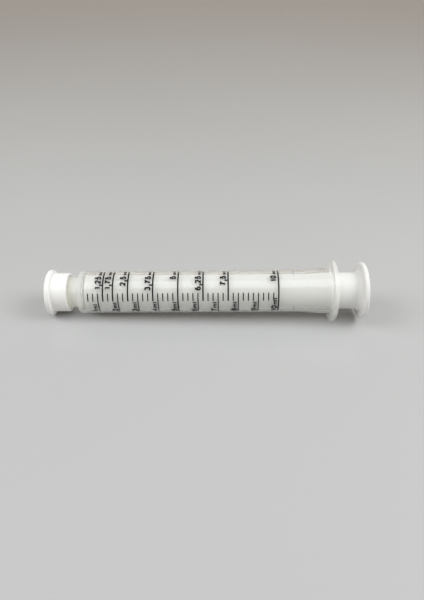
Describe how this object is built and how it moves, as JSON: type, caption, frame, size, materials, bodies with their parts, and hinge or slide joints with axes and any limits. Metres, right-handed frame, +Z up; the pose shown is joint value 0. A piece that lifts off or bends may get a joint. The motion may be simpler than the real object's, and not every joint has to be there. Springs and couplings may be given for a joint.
{
  "type": "oral syringe",
  "caption": "Oral dosing syringe with a printed translucent barrel, a round finger flange, a sliding plunger with thumb disc and seal, and a push-on tip cap.",
  "frame": {"origin": "on the syringe's axis, at the flat front of the barrel, where the neck stands out of it", "axes": "+X along the syringe's axis from the nose towards the thumb disc, +Z up with the syringe lying on its side, and the printed scales facing -Y, turned 35 degrees up"},
  "size_m": [0.1143, 0.0222, 0.0222],
  "materials": {
    "barrel_plastic": "translucent natural polypropylene, smooth with a faint haze",
    "plunger_plastic": "white polyethylene, satin",
    "seal_rubber": "white elastomer, satin",
    "cap_plastic": "white polyethylene, smooth",
    "ink": "black printing ink"
  },
  "bodies": {
    "barrel": {"barrel": "barrel_plastic", "volume_scale": "ink", "dose_scale": "ink"},
    "plunger": {"plunger": "plunger_plastic", "piston_seal": "seal_rubber"},
    "cap": {"tip_cap": "cap_plastic"}
  },
  "joints": [
    {"name": "plunger_slide", "type": "slide", "parent": "barrel", "child": "plunger", "axis": [1, 0, 0], "range_m": [0, 0.0696]},
    {"name": "cap_pull", "type": "slide", "parent": "barrel", "child": "cap", "axis": [-1, 0, 0], "range_m": [0, 0.03]}
  ]
}
